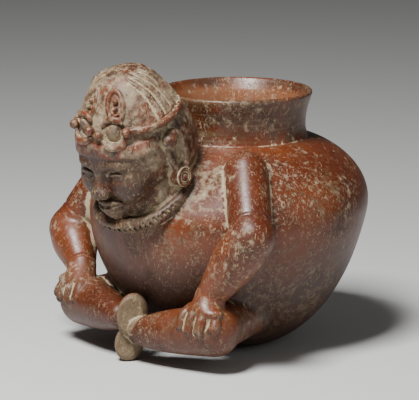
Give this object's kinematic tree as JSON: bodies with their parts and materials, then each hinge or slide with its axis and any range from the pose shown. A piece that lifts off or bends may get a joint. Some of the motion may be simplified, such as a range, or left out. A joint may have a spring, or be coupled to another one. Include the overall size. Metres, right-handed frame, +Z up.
{
  "type": "effigy vessel",
  "caption": "Hollow burnished red clay jar shaped as a crouching figure, with a wide neck behind its head, hands on its crossed shins and a small flat base.",
  "frame": {"origin": "middle of the jar's small flat base, on the surface that it stands on", "axes": "+Z up, the figure faces -Y, its left hand is on the +X side"},
  "size_m": [0.2725, 0.3005, 0.2637],
  "materials": {
    "burnished_clay": "burnished red slip over buff clay, satin, scuffed, with pale deposits in the creases"
  },
  "bodies": {
    "root": {"effigy_vessel": "burnished_clay"}
  },
  "joints": []
}
